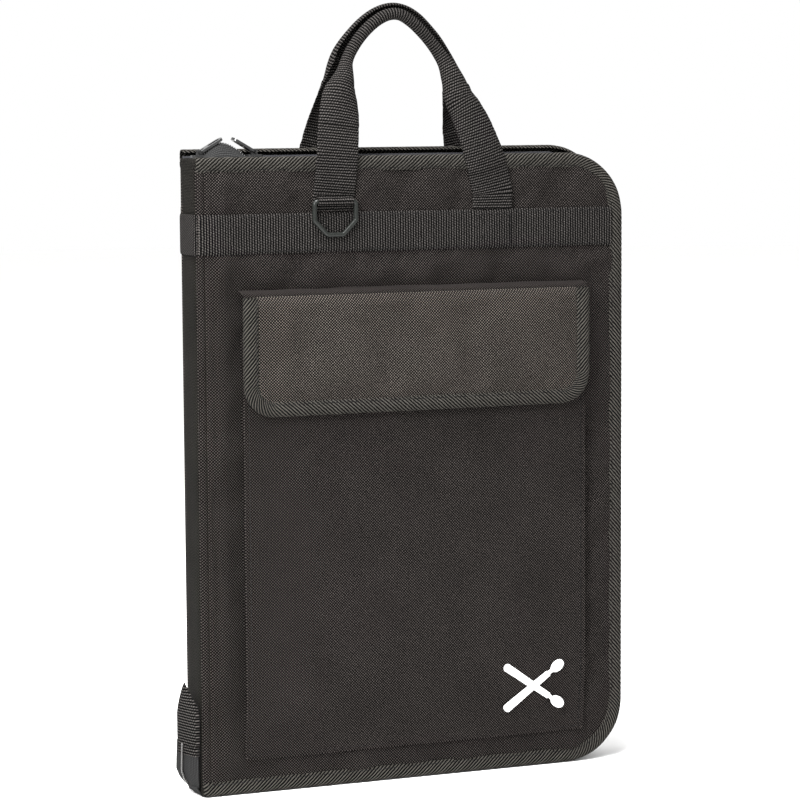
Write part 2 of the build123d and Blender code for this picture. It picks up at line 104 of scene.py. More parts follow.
def fabric(name, thread, gap, waves, mix=0.8, sharp=1.0, bump=0.5, relief=0.0004, rough=0.85,
           sheen=0.0, patch=0.2, wobble=0.00012):
    """Cloth of light threads over dark gaps, from two trains of waves in cycles per metre."""
    material = bpy.data.materials.new(name)
    material.use_nodes = True
    nodes = material.node_tree.nodes
    link = material.node_tree.links.new
    shader = nodes["Principled BSDF"]

    def math_node(kind, a, b=None, c=None):
        node = nodes.new("ShaderNodeMath")
        node.operation = kind
        for socket, value in zip(node.inputs, (a, b, c)):
            if value is None:
                continue
            if isinstance(value, (int, float)):
                socket.default_value = value
            else:
                link(value, socket)
        return node.outputs[0]

    def noise_node(scale, detail=2.0):
        node = nodes.new("ShaderNodeTexNoise")
        node.inputs["Scale"].default_value = scale
        node.inputs["Detail"].default_value = detail
        link(run, node.inputs["Vector"])
        return node

    attribute = nodes.new("ShaderNodeAttribute")
    attribute.attribute_name = "run"
    run = attribute.outputs["Vector"]
    shift = nodes.new("ShaderNodeVectorMath")
    shift.operation = "MULTIPLY_ADD"
    link(noise_node(260).outputs["Color"], shift.inputs[0])
    shift.inputs[1].default_value = (wobble * 8, wobble * 8, 0)
    link(run, shift.inputs[2])
    trains = []
    for along, across in waves:
        dot = nodes.new("ShaderNodeVectorMath")
        dot.operation = "DOT_PRODUCT"
        link(shift.outputs[0], dot.inputs[0])
        dot.inputs[1].default_value = (2 * math.pi * along, 2 * math.pi * across, 0)
        trains.append(math_node("MULTIPLY_ADD", math_node("SINE", dot.outputs["Value"]), 0.5, 0.5))
    first, second = [math_node("POWER", train, sharp) for train in trains]
    height = math_node("MULTIPLY", first, math_node("MULTIPLY_ADD", second, mix, 1 - mix))
    fibre = noise_node(2600, 3).outputs["Fac"]
    mottle = noise_node(22, 4).outputs["Fac"]
    speck = math_node("MULTIPLY_ADD", fibre, 0.5, 0.75)
    tone = math_node("MULTIPLY_ADD", mottle, patch * 2, 1 - patch)
    blend = nodes.new("ShaderNodeMix")
    blend.data_type = "RGBA"
    blend.inputs[6].default_value = (*gap, 1)
    blend.inputs[7].default_value = (*thread, 1)
    link(height, blend.inputs[0])
    shade = nodes.new("ShaderNodeVectorMath")
    shade.operation = "SCALE"
    link(blend.outputs[2], shade.inputs[0])
    link(math_node("MULTIPLY", speck, tone), shade.inputs["Scale"])
    link(shade.outputs[0], shader.inputs["Base Color"])
    dent = nodes.new("ShaderNodeBump")
    dent.inputs["Strength"].default_value = bump
    dent.inputs["Distance"].default_value = relief
    link(math_node("MULTIPLY_ADD", fibre, 0.25, height), dent.inputs["Height"])
    link(dent.outputs[0], shader.inputs["Normal"])
    shader.inputs["Roughness"].default_value = rough
    shader.inputs["Sheen Weight"].default_value = sheen
    shader.inputs["Sheen Roughness"].default_value = 0.45
    shader.inputs["Specular IOR Level"].default_value = 0.03
    return material

def piece(name, points, faces, run, material, corner=45):
    """Smooth mesh object with its weave directions, finish and material slot."""
    mesh = bpy.data.meshes.new(name)
    mesh.from_pydata(np.asarray(points, float).tolist(), [], [tuple(f) for f in np.asarray(faces).tolist()]
                     if not isinstance(faces, list) else faces)
    attribute = mesh.attributes.new("run", "FLOAT_VECTOR", "POINT")
    attribute.data.foreach_set("vector", np.asarray(run, np.float32).ravel())
    solid = bmesh.new()
    solid.from_mesh(mesh)
    bmesh.ops.recalc_face_normals(solid, faces=solid.faces)
    solid.to_mesh(mesh)
    solid.free()
    mesh.shade_smooth()
    mesh.set_sharp_from_angle(angle=math.radians(corner))
    mesh.materials.append(material)
    thing = bpy.data.objects.new(name, mesh)
    bpy.context.scene.collection.objects.link(thing)
    return thing

def grid_quads(index):
    """Quads between the neighbouring points of a numbered grid."""
    return np.stack([index[:-1, :-1], index[:-1, 1:], index[1:, 1:], index[1:, :-1]], -1).reshape(-1, 4)

def skin(name, outer, inner, run, material, corner=45):
    """Closed thin piece between two grids of points."""
    rows, cols = outer.shape[:2]
    count = rows * cols
    index = np.arange(count).reshape(rows, cols)
    quads = grid_quads(index)
    rim = np.concatenate([index[0], index[1:, -1], index[-1, -2::-1], index[-2:0:-1, 0]])
    ahead = np.roll(rim, -1)
    faces = np.concatenate([quads, (quads + count)[:, ::-1],
                            np.stack([ahead, rim, rim + count, ahead + count], -1)])
    points = np.concatenate([outer.reshape(-1, 3), inner.reshape(-1, 3)])
    flat = np.concatenate([run.reshape(-1, 3)] * 2)
    return piece(name, points, faces, flat, material, corner)

def weave(along, across):
    """Every cloth piece carries "run": metres along and across its own weave."""
    return np.stack([along, across, 0 * along], -1)

def swept_weave(along, across):
    """The same for a piece swept along a line, from one value for each row and each column."""
    return weave(*np.meshgrid(along, across, indexing="ij"))

def sheet_grid(columns, rows, low=0):
    """Even places from low to 1 across and up a piece."""
    return np.meshgrid(np.linspace(low, 1, columns), np.linspace(0, 1, rows))

def wrinkle(x, z, seed, size):
    """Smooth random height field from a few slanted waves, about -1 to 1."""
    dice = np.random.default_rng(seed)
    total = np.zeros_like(x)
    for number in range(7):
        angle = dice.uniform(0, math.pi)
        wave = dice.uniform(0.6, 1.7) / size
        slanted = x * math.cos(angle) + z * math.sin(angle)
        total += np.sin(2 * math.pi * wave * slanted + dice.uniform(0, 6.3))
    return total / 4

def capsules(name, centres, directions, length, thick, material, proud=None, flat=1.0):
    """Many small rounded grains, such as stitches or zip teeth, in one mesh."""
    centres = np.asarray(centres, float)
    directions = np.asarray(directions, float)
    directions = directions / np.linalg.norm(directions, axis=1, keepdims=True)
    proud = np.array([0, 1.0, 0]) if proud is None else np.asarray(proud, float)
    side = np.cross(directions, proud)
    side = side / np.maximum(np.linalg.norm(side, axis=1, keepdims=True), 1e-9)
    lift = np.cross(side, directions)
    rings = [(-0.5, 0.25), (-0.36, 0.85), (0.0, 1.0), (0.36, 0.85), (0.5, 0.25)]
    angles = np.arange(6) * math.pi / 3
    points, faces = [], []
    for along, wide in rings:
        for angle in angles:
            points.append(centres + directions * along * length
                          + side * math.cos(angle) * wide * thick / 2
                          + lift * math.sin(angle) * wide * thick / 2 * flat)
    points = np.stack(points, 1)
    count = points.shape[1]
    pattern = []
    for ring_number in range(len(rings) - 1):
        for corner in range(6):
            a = ring_number * 6 + corner
            b = ring_number * 6 + (corner + 1) % 6
            pattern.append((a, b, b + 6, a + 6))
    caps = [tuple(range(6)), tuple(range(count - 1, count - 7, -1))]
    for number in range(len(centres)):
        shift = number * count
        faces += [tuple(i + shift for i in face) for face in pattern + caps]
    run = np.zeros((len(centres) * count, 3))
    run[:, 0] = points.reshape(-1, 3) @ np.array([0.7, 0.2, 0.7])
    return piece(name, points.reshape(-1, 3), faces, run, material, corner=80)

def running_length(line):
    """Distance along a line of points, counted from its first point."""
    return np.concatenate([[0], np.cumsum(np.linalg.norm(np.diff(line, axis=0), axis=1))])

def stitch_row(path, pitch=0.0038):
    """Stitch centres and directions at an even pitch along a line of points."""
    path = np.asarray(path, float)
    length = running_length(path)
    spots = np.arange(pitch / 2, length[-1], pitch)
    centres = np.stack([np.interp(spots, length, path[:, axis]) for axis in range(3)], 1)
    ahead = np.stack([np.interp(spots + 0.001, length, path[:, axis]) for axis in range(3)], 1)
    behind = np.stack([np.interp(spots - 0.001, length, path[:, axis]) for axis in range(3)], 1)
    return centres, ahead - behind

def sew(name, rows, body, proud=(0, -1, 0), pitch=0.0038, length=0.0027, thick=0.0008):
    """Rows of sewn stitches as one piece on a body."""
    found = [stitch_row(row, pitch) for row in rows]
    thread = capsules(name, np.concatenate([f[0] for f in found]), np.concatenate([f[1] for f in found]),
                      length, thick, sewing_thread, proud=proud, flat=0.7)
    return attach(thread, body)

def settle(grid, free, growth, frames, out, dent, pressure):
    """Slack cloth held along its seams: a short simulation, capped, gives it its puckers."""
    rows, cols = grid.shape[:2]
    index = np.arange(rows * cols).reshape(rows, cols)
    quads = grid_quads(index)
    mesh = bpy.data.meshes.new("slack")
    mesh.from_pydata(grid.reshape(-1, 3).tolist(), [], quads.tolist())
    slack = bpy.data.objects.new("slack", mesh)
    bpy.context.scene.collection.objects.link(slack)
    pins = slack.vertex_groups.new(name="seams")
    for number in np.flatnonzero(free.ravel() < 0.5):
        pins.add([int(number)], 1.0, "REPLACE")
    cloth = slack.modifiers.new("cloth", "CLOTH")
    cloth.settings.quality = 4
    cloth.settings.mass = 0.2
    cloth.settings.tension_stiffness = 12
    cloth.settings.compression_stiffness = 12
    cloth.settings.shear_stiffness = 4
    cloth.settings.bending_stiffness = 0.4
    cloth.settings.vertex_group_mass = "seams"
    cloth.settings.shrink_min = -growth
    cloth.settings.use_pressure = True
    cloth.settings.uniform_pressure_force = pressure
    cloth.settings.effector_weights.gravity = 0
    cloth.collision_settings.use_collision = False
    cloth.point_cache.frame_end = frames
    scene = bpy.context.scene
    for number in range(1, frames + 1):
        scene.frame_set(number)
    found = slack.evaluated_get(bpy.context.evaluated_depsgraph_get()).to_mesh()
    moved = np.zeros(rows * cols * 3, np.float32)
    found.vertices.foreach_get("co", moved)
    moved = moved.reshape(rows, cols, 3) - grid
    scene.frame_set(1)
    bpy.data.objects.remove(slack)
    facing = np.sign(grid[rows // 2, cols // 2, 1])
    away = np.clip(moved[..., 1] * facing, -dent, out) * facing
    slide = np.clip(moved, -0.0012, 0.0012)
    return grid + np.stack([slide[..., 0], away, slide[..., 2]], -1)

panel_cloth = fabric("panel_cloth", (0.086, 0.074, 0.069), (0.0003, 0.0003, 0.0003),
                     ((420, 420), (420, -420)), mix=1.0, sharp=1.9, bump=0.8, patch=0.3)
sewing_thread = fabric("sewing_thread", (0.016, 0.015, 0.015), (0.006, 0.006, 0.006),
                       ((1500, 1500), (900, 0)), mix=0.2, bump=0.4, rough=0.6)
zip_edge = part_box("front_edge_binding")[1][0]
spine_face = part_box("spine_outer_fabric")[0][0]
face_y = -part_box("front_outer_fabric")[0][1]
radius = 0.052
pocket_low, pocket_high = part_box("pocket_sheet")
covers = {"front": -1, "back": 1}
band_z = {name: (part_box(f"{name}_band")[0][2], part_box(f"{name}_band")[1][2]) for name in covers}
cover_top = {name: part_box(f"{name}_edge_binding")[1][2] for name in covers}

def bump(value, middle, width):
    """Rounded hill, 1 high at its middle."""
    return np.exp(-((value - middle) / width) ** 2)

def cover_roll(name, x, z):
    """Height of the padded roll beside the spine, pressed down where the band crosses it."""
    band_low, band_high = band_z[name]
    pressed = np.clip(np.minimum(z - band_low + 0.006, band_high + 0.006 - z) / 0.006, 0, 1)
    free = np.clip(np.minimum(z - 0.010, cover_top[name] - 0.010 - z) / 0.012, 0, 1)
    return (0.0033 - 0.0021 * pressed) * free * bump(x, spine_face + 0.019, 0.0085)

for name, side in covers.items():
    low, high = 0.006, cover_top[name] - 0.006
    edge_x = np.array([0.0004, 0.0008, 0.0018, 0.0032, 0.005, 0.0062, 0.0070, 0.0078, 0.009])
    edge_y = np.array([-0.0022, -0.0012, -0.0003, 0.0004, 0.0006, 0.0002, -0.0006, 0.0002, 0.0012])
    share = np.concatenate([edge_x, np.linspace(0.0125, zip_edge - 0.006 - spine_face, 98)])
    start = np.concatenate([edge_y, np.zeros(98)])
    zs = np.linspace(low, high, 138)
    inset_radius = radius - 0.006
    drop = np.maximum(0, np.maximum(zs - (high - inset_radius), (low + inset_radius) - zs))
    reach = zip_edge - 0.006 - inset_radius + np.sqrt(np.maximum(inset_radius ** 2 - drop ** 2, 0))
    full = share[-1]
    stretched = 0.02 + (share[None, :] - 0.02) * (reach[:, None] - spine_face - 0.02) / (full - 0.02)
    x = spine_face + np.where(share[None, :] < 0.02, share[None, :], stretched)
    z = np.repeat(zs[:, None], len(share), 1)
    roll = cover_roll(name, x, z)
    band_low, band_high = band_z[name]
    pillow = 0.0012 * bump(z, (band_high + high) / 2, 0.014) + 0.0010 * bump(z, (band_low + 0.412) / 2, 0.012)
    flat = np.clip((x - spine_face - 0.010) / 0.012, 0, 1)
    rise = start[None, :] + flat * (roll + pillow + 0.0004 * wrinkle(x, z, 11 + side, 0.07))
    y = side * (face_y + rise)
    grid = np.stack([x, y, z], -1)
    d_edge = np.minimum(np.minimum(zip_edge - x, z), cover_top[name] - z)
    corner = np.hypot(np.maximum(x - (zip_edge - radius), 0),
                      np.maximum(np.maximum(z - (cover_top[name] - radius), radius - z), 0))
    free = (d_edge > 0.011) & (corner < radius - 0.011) & (x > spine_face + 0.0105)
    free &= ~((z > band_low - 0.002) & (z < band_high + 0.002))
    if side < 0:
        under_pocket = (x > pocket_low[0] + 0.004) & (x < pocket_high[0] - 0.004)
        free &= ~(under_pocket & (z > pocket_low[2]) & (z < 0.408))
    else:
        lattice = (np.abs(x - 0.004) < 0.17) & (np.abs(z - 0.23) < 0.19)
        free &= ~(lattice & (np.hypot(x - 0.004, z - 0.23) < 0.02))
    grid = settle(grid, free, 0.014, 18, 0.0032, 0.0012, 0.6)
    inner = grid.copy()
    inner[..., 1] = side * (face_y - 0.0055)
    inner[..., 0] = np.maximum(inner[..., 0], spine_face + 0.0012)
    run = weave(x, z)
    cover = skin(f"{name}_cover", grid, inner, run, panel_cloth, corner=60)
    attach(cover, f"{name}_cover")
    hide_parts(f"{name}_outer_fabric", f"{name}_foam_pad", f"{name}_stiffener_board")
    heights = np.linspace(0.014, cover_top[name] - 0.014, 60)
    seam = [(spine_face + 0.0058, side * (face_y - 0.0002), height) for height in heights]
    sew(f"{name}_spine_stitches", [seam], f"{name}_cover", proud=(0, side, 0))

# ---------------------------------------------------------------- linings
# Smooth taffeta over the stiffening board, caught under the edge binding on three sides and
# faintly loose between.
lining_cloth = fabric("lining_cloth", (0.055, 0.055, 0.06), (0.028, 0.028, 0.031),
                      ((1300, 0), (0, 1300)), mix=0.5, bump=0.2, relief=0.0002, rough=0.55)
lining_radius = 0.047
for name, side in covers.items():
    low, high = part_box(f"{name}_lining")
    us, vs = sheet_grid(60, 80)
    zs = low[2] + (high[2] - low[2]) * vs
    drop = np.maximum(0, np.maximum(zs - (high[2] - lining_radius), (low[2] + lining_radius) - zs))
    right = high[0] - lining_radius + np.sqrt(np.maximum(lining_radius ** 2 - drop ** 2, 0))
    x = low[0] + (right - low[0]) * us
    inside = side * (0.01405 - 0.0003 * (1 + wrinkle(x, zs, 30 + side, 0.09)))
    outer = np.stack([x, inside, zs], -1)
    inner = np.stack([x, np.full_like(x, side * 0.0149), zs], -1)
    cloth = skin(f"{name}_lining_cloth", outer, inner, weave(x, zs), lining_cloth)
    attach(cloth, f"{name}_cover")
    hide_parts(f"{name}_lining")

# ---------------------------------------------------------------- spine
# One padded strip between the covers, of the same cloth over foam. The cloth and the band carry on
# round each corner.
# The spine's cloth is a darker copy of the covers' cloth: painted shade, set low against the key lamp that
# lights the spine's side more than the covers.
shaded_spine_cloth = fabric("shaded_spine_cloth", (0.047, 0.043, 0.037), (0.0003, 0.0003, 0.0003),
                     ((420, 420), (420, -420)), mix=1.0, sharp=1.8, bump=0.8, patch=0.4)
webbing = fabric("webbing", (0.088, 0.081, 0.077), (0.0002, 0.0002, 0.0002),
                 ((440, 0), (220, 470)), mix=0.8, sharp=2.2, bump=1.0, relief=0.0006, patch=0.2)
low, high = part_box("spine_outer_fabric")
us, vs = sheet_grid(25, 110, low=-1)
half = 0.0194
z = low[2] + (high[2] - low[2]) * vs
x = low[0] - 0.0006 * (1 - us ** 2) + 0.0022 * np.abs(us) ** 8 + 0.0006 * wrinkle(us * 0.02, z, 5, 0.07)
x = x + 0.0008 * bump(np.abs(z - 0.458), 0.0175, 0.0035)
outer = np.stack([x, us * half, z], -1)
inner = np.stack([x * 0 + low[0] + 0.0060, us * 0.0129, z], -1)
spine = skin("spine_panel", outer, inner, weave(us * half, z), shaded_spine_cloth, corner=60)
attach(spine, "spine")
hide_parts("spine_outer_fabric", "spine_foam_pad")
low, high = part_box("spine_lining")
outer = np.stack([high[0] - 0.0003 * (1 - us ** 2), us * high[1], low[2] + (high[2] - low[2]) * vs], -1)
inner = outer.copy()
inner[..., 0] = low[0]
cloth = skin("spine_lining_cloth", outer, inner, weave(us * half, outer[..., 2]),
             lining_cloth)
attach(cloth, "spine")
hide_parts("spine_lining")

def smooth_profile(points, count=26):
    """Even, rounded line through a few profile points."""
    points = np.asarray(points, float)
    for _ in range(3):
        first, last = points[:1], points[-1:]
        quarter = points[:-1] * 0.75 + points[1:] * 0.25
        three = points[:-1] * 0.25 + points[1:] * 0.75
        points = np.concatenate([first, np.stack([quarter, three], 1).reshape(-1, 2), last])
    length = running_length(points)
    spots = np.linspace(0, length[-1], count)
    return np.stack([np.interp(spots, length, points[:, axis]) for axis in range(2)], 1)

def corner_strip(name, section, z_low, z_high, cloth_finish, side):
    """Cloth folded round the corner between the spine and a cover."""
    section = smooth_profile(section, 18)
    across = running_length(section)
    zs = np.linspace(z_low, z_high, 90 if z_high - z_low > 0.1 else 20)
    outer = np.stack([np.repeat(spine_face + section[None, :, 0], len(zs), 0),
                      np.repeat(side * section[None, :, 1], len(zs), 0), np.repeat(zs[:, None], 18, 1)], -1)
    inner = outer + np.array([0.0006, -side * 0.0006, 0])
    run = weave(np.repeat(across[None, :], len(zs), 0), outer[..., 2])
    strip = skin(name, outer, inner, run, cloth_finish, corner=75)
    if side < 0:
        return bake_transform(strip)
    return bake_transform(strip)

seam_section = [(0.0016, 0.0138), (0.0014, 0.0178), (0.0020, 0.0190), (0.0045, 0.0198), (0.0072, 0.0200)]
band_section = [(-0.0002, 0.0178), (0.0004, 0.0192), (0.0016, 0.0204), (0.0034, 0.0211), (0.0064, 0.0214)]
for name, side in covers.items():
    corner_strip(f"{name}_spine_seam", seam_section, 0.009, 0.511, shaded_spine_cloth, side)
    band_low, band_high = band_z[name]
    corner_strip(f"{name}_band_corner", band_section, band_low + 0.0006, band_high - 0.0006, webbing,
                 side)

# ---------------------------------------------------------------- bindings
# Ribbed twill tape folded over each raw edge and sewn through, plump over the foam. The ends of
# the spine are turned in and closed with a strip of its own cloth.
binding_tape = fabric("binding_tape", (0.076, 0.071, 0.063), (0.0003, 0.0003, 0.0003),
                      ((290, -330), (560, 480)), mix=0.4, sharp=1.8, bump=1.0, relief=0.0007)

seam_inset = 0.0098

def outline(corner_x, low, high, radius, start_x, step=0.004):
    """Points, outward directions and run along the top, the rounded zip side and the bottom."""
    xs = np.arange(start_x, corner_x - radius, step)
    arc = np.linspace(0, math.pi / 2, 22)
    zs = np.arange(high - radius, low + radius, -step)
    top = np.stack([xs, np.full_like(xs, high), 0 * xs, 1 + 0 * xs], 1)
    turn = np.stack([corner_x - radius + radius * np.sin(arc), high - radius + radius * np.cos(arc),
                     np.sin(arc), np.cos(arc)], 1)
    side = np.stack([np.full_like(zs, corner_x), zs, 1 + 0 * zs, 0 * zs], 1)[1:]
    back = np.stack([corner_x - radius + radius * np.cos(arc), low + radius - radius * np.sin(arc),
                     np.cos(arc), -np.sin(arc)], 1)
    base = np.stack([xs[::-1], np.full_like(xs, low), 0 * xs, -1 + 0 * xs], 1)
    path = np.concatenate([top, turn, side, back, base])
    length = running_length(path[:, :2])
    keep = np.concatenate([[True], np.diff(length) > 1e-6])
    return path[keep, :2], path[keep, 2:], length[keep]

def edge_seam(path, outward, y):
    """Line of the stitches near a binding's inner edge."""
    return np.stack([path[:, 0] - outward[:, 0] * seam_inset, np.full(len(path), y),
                     path[:, 1] - outward[:, 1] * seam_inset], 1)

def tape_sweep(name, path, outward, length, profile, side, start, tuck=0.0):
    """Folded tape along a line in XZ; profile is (inset from the edge, distance from the mid-plane)."""
    profile = np.asarray(profile)
    across = running_length(profile)
    ripple = 0.00012 * np.sin(2 * math.pi * (length[:, None] * 225 - across[None, :] * 262))
    turn = np.gradient(profile, axis=0)
    normal = np.stack([turn[:, 1], -turn[:, 0]], 1)
    normal = normal / np.linalg.norm(normal, axis=1, keepdims=True)
    end = np.clip(1 - np.minimum(length, length[-1] - length) / 0.003, 0, 1)[:, None] ** 2
    slim = 1 - tuck * end * (profile[None, :, 1] > 0.015)
    inset = profile[None, :, 0] + normal[None, :, 0] * ripple
    depth = (profile[None, :, 1] + normal[None, :, 1] * ripple) * slim
    outer = np.stack([path[:, None, 0] - outward[:, None, 0] * inset, side * depth + 0 * inset,
                      path[:, None, 1] - outward[:, None, 1] * inset], -1)
    inset = profile[None, :, 0] - normal[None, :, 0] * 0.0010 + 0 * ripple
    depth = (profile[None, :, 1] - normal[None, :, 1] * 0.0010) * slim
    inner = np.stack([path[:, None, 0] - outward[:, None, 0] * inset, side * depth + 0 * inset,
                      path[:, None, 1] - outward[:, None, 1] * inset], -1)
    return skin(name, outer, inner, swept_weave(length + start, across), binding_tape,
                corner=75)

edge_profile = smooth_profile([(0.0122, 0.0204), (0.0121, 0.0216), (0.0105, 0.0219), (0.0075, 0.0228),
                               (0.0035, 0.0229), (0.0006, 0.0218), (-0.0003, 0.0190), (-0.0002, 0.0155),
                               (0.0006, 0.0136), (0.0022, 0.0133)])
for name, side in covers.items():
    path, outward, length = outline(zip_edge, 0.0006, cover_top[name], radius, spine_face + 0.0006,
                                    step=0.0012)
    tape = tape_sweep(f"{name}_binding_tape", path, outward, length, edge_profile, side, 0.0, tuck=0.09)
    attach(tape, f"{name}_cover")
    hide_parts(f"{name}_edge_binding")
    line = edge_seam(path, outward, side * 0.02215)
    sew(f"{name}_binding_stitches", [line[::3]], f"{name}_cover", proud=(0, side, 0), pitch=0.0042)

end_profile = smooth_profile([(0.0085, 0.0006), (0.0080, -0.0002), (0.006, -0.0005), (0.002, -0.0004),
                              (0.0002, 0.0006), (-0.0001, 0.0035), (0.0003, 0.0062), (0.0030, 0.0072),
                              (0.0110, 0.0073)], 20)
end_half, end_narrowing = 0.0212, 0.0128 / 0.02
ys = np.linspace(-end_half, end_half, 34)
for name, edge, sign in (("top", 0.5195, -1), ("bottom", 0.0005, 1)):
    across = running_length(end_profile)
    wide = np.where(end_profile[:, 1] > 0.0015, end_narrowing, 1.0)
    run = swept_weave(ys, across)
    ripple = 0.00012 * np.sin(2 * math.pi * (run[..., 0] * 225 - run[..., 1] * 262))
    round_off = 0.0016 * np.abs(ys / end_half) ** 12
    depth = spine_face + end_profile[None, :, 1] - ripple + round_off[:, None] * (wide == 1.0)
    outer = np.stack([depth, ys[:, None] * wide[None, :],
                      edge + sign * end_profile[None, :, 0] + 0 * ripple], -1)
    centre = np.array([spine_face + 0.003, 0, edge + sign * 0.006])
    inner = outer + (centre - outer) * np.array([0.22, 0, 0.12])
    tape = skin(f"spine_{name}_binding", outer, inner, run, shaded_spine_cloth, corner=75)
    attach(tape, "spine")
    if name == "top":
        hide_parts("spine_end_bindings")

# ---------------------------------------------------------------- zip
# Two woven tapes sewn inside the bindings round the zip sides, with a nylon coil on each. Slack
# in them stands up as a hump between two cast zinc sliders with slotted pulls.

def metal(name, color, rough, metallic, grain, gloss=0.5):
    """Coated metal with a fine cast grain and slightly uneven gloss."""
    material = bpy.data.materials.new(name)
    material.use_nodes = True
    nodes = material.node_tree.nodes
    link = material.node_tree.links.new
    shader = nodes["Principled BSDF"]
    place = nodes.new("ShaderNodeTexCoord")
    spots = nodes.new("ShaderNodeTexNoise")
    spots.inputs["Scale"].default_value = grain
    spots.inputs["Detail"].default_value = 4
    link(place.outputs["Object"], spots.inputs["Vector"])
    ramp = nodes.new("ShaderNodeMapRange")
    ramp.inputs["To Min"].default_value = rough * 0.75
    ramp.inputs["To Max"].default_value = rough * 1.3
    link(spots.outputs["Fac"], ramp.inputs["Value"])
    link(ramp.outputs[0], shader.inputs["Roughness"])
    tint = nodes.new("ShaderNodeMix")
    tint.data_type = "RGBA"
    tint.inputs[6].default_value = (*[c * 0.7 for c in color], 1)
    tint.inputs[7].default_value = (*[c * 1.25 for c in color], 1)
    link(spots.outputs["Fac"], tint.inputs[0])
    link(tint.outputs[2], shader.inputs["Base Color"])
    dent = nodes.new("ShaderNodeBump")
    dent.inputs["Strength"].default_value = 0.15
    dent.inputs["Distance"].default_value = 0.0002
    link(spots.outputs["Fac"], dent.inputs["Height"])
    link(dent.outputs[0], shader.inputs["Normal"])
    shader.inputs["Metallic"].default_value = metallic
    shader.inputs["Specular IOR Level"].default_value = gloss
    return material

zip_cloth = fabric("zip_cloth", (0.03, 0.03, 0.03), (0.008, 0.008, 0.008),
                   ((0, 700), (500, 350)), mix=0.5, bump=0.5)
zip_zinc = metal("zip_zinc", (0.022, 0.022, 0.022), 0.2, 0.3, 500)
tooth_nylon = metal("tooth_nylon", (0.03, 0.03, 0.03), 0.25, 0.0, 1500)
hump_left, hump_mid, hump_right, hump_rise = -0.177, -0.158, -0.1345, 0.0125
zip_inset, bag_top = 0.0015, 0.52

def hump(x, z):
    """Height of the slack hump over the top edge at x."""
    left = np.clip((x - hump_left) / (hump_mid - hump_left), 0, 1)
    right = np.clip((hump_right - x) / (hump_right - hump_mid), 0, 1)
    t = np.minimum(left, right)
    return np.where(z > 0.3, hump_rise * np.sin(t * math.pi / 2) ** 1.2, 0)

for name, side in covers.items():
    path, outward, length = outline(zip_edge - zip_inset, zip_inset, bag_top - zip_inset, radius - zip_inset,
                                    spine_face + 0.0085, step=0.0015)
    depth = np.array([0.0136, 0.0125, 0.0112, 0.0098, 0.0084, 0.0070, 0.0056, 0.0044, 0.0036])
    lift = np.clip((0.0136 - depth) / 0.010, 0, 1)
    rise = hump(path[:, 0], path[:, 1])[:, None] * (lift ** 0.8)[None, :]
    outer = np.stack([np.repeat(path[:, 0:1], 9, 1), np.repeat(side * depth[None, :], len(path), 0),
                      path[:, 1:2] + rise], -1)
    inner = outer.copy()
    inner[..., 0] -= outward[:, 0:1] * 0.0009
    inner[..., 2] -= outward[:, 1:2] * 0.0009
    tape = skin(f"{name}_zip_cloth", outer, inner, swept_weave(length, depth), zip_cloth,
                corner=70)
    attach(tape, f"{name}_cover")
    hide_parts(f"{name}_zip_tape")
    line = np.stack([path[:, 0], np.full(len(path), side * 0.0023),
                     path[:, 1] + hump(path[:, 0], path[:, 1])], 1)
    centres, along = stitch_row(line, 0.0021)
    centres = centres + along / np.linalg.norm(along, axis=1, keepdims=True) * (0.0005 * side)
    centres[:, 2] += np.where(centres[:, 2] > 0.3, 0.0002, 0)
    across = np.tile([0.25, 1.0, 0.0], (len(centres), 1))
    teeth = capsules(f"{name}_zip_teeth", centres, across, 0.0026, 0.0015, tooth_nylon,
                     proud=(0.3, 0, 1), flat=1.3)
    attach(teeth, f"{name}_cover")
    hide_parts(f"{name}_zip_coil")

for node in ("left_slider", "right_slider", "left_pull", "right_pull"):
    metal_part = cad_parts[node]
    metal_part.data.materials.clear()
    metal_part.data.materials.append(zip_zinc)

# ---------------------------------------------------------------- zip tail
# The zip's free end comes out under the spine. Its teeth face outwards, and it is closed off by
# a folded and pointed webbing tab sewn across.
# The tail's teeth are a lighter copy of the coil's nylon: a painted highlight for the bright glints on them.
tail_tooth_highlit = metal("tail_tooth_highlit", (0.09, 0.088, 0.085), 0.3, 0.0, 1500)
root_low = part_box("zip_tail_root")[0]
us, vs = sheet_grid(17, 12, low=-1)
edge_y = np.where(us < 0, us * 0.0165, us * 0.0120)
fold_x = root_low[0] + 0.0036 - 0.0046 * vs ** 0.7 + 0.0012 * np.abs(us)
outer = np.stack([fold_x, edge_y, 0.0012 + vs * 0.0070], -1)
inner = outer + np.array([0.0009, 0, 0.0003])
root = skin("zip_tail_fold", outer, inner, weave(vs * 0.006, edge_y), zip_cloth)
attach(root, "spine")
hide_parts("zip_tail_root")

tail_wide_front, tail_wide_back = 0.0165, 0.0110
hang_x = -0.1885

def tail_face(us, z):
    """X of the hanging end at a place across it, swinging out from the bag's bottom corner."""
    out = np.interp(z, [0.004, 0.008, 0.013, 0.020, 0.050], [0.05, 0.35, 0.72, 1.0, 0.9])
    return hang_x - out * np.interp(us, [-1, -0.5, 0, 0.5, 1], [0.0006, 0.0052, 0.0084, 0.0098, 0.0102])

us, vs = sheet_grid(33, 34, low=-1)
z = 0.0060 + vs * 0.038 + 0.002 * us ** 2 * (1 - vs)
y = np.where(us < 0, us * tail_wide_front, us * tail_wide_back)
outer = np.stack([tail_face(us, z) - 0.0003 * wrinkle(y, z, 140, 0.02), y, z], -1)
inner = outer + np.array([0.0009, 0.0002, 0])
tail = skin("zip_tail_cloth", outer, inner, weave(z, y), zip_cloth)
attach(tail, "zip_tail")
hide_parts("zip_tail_tape")
zs = np.arange(0.008, 0.043, 0.0019)
centres = np.stack([tail_face(0, zs) - 0.0008, 0 * zs - 0.0004, zs], 1)
slants = np.tile([0.3, 1.0, 0.35], (len(zs), 1))
teeth = capsules("zip_tail_teeth", centres, slants, 0.0046, 0.0016, tail_tooth_highlit,
                 proud=(-1, 0, 0), flat=1.0)
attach(teeth, "zip_tail")

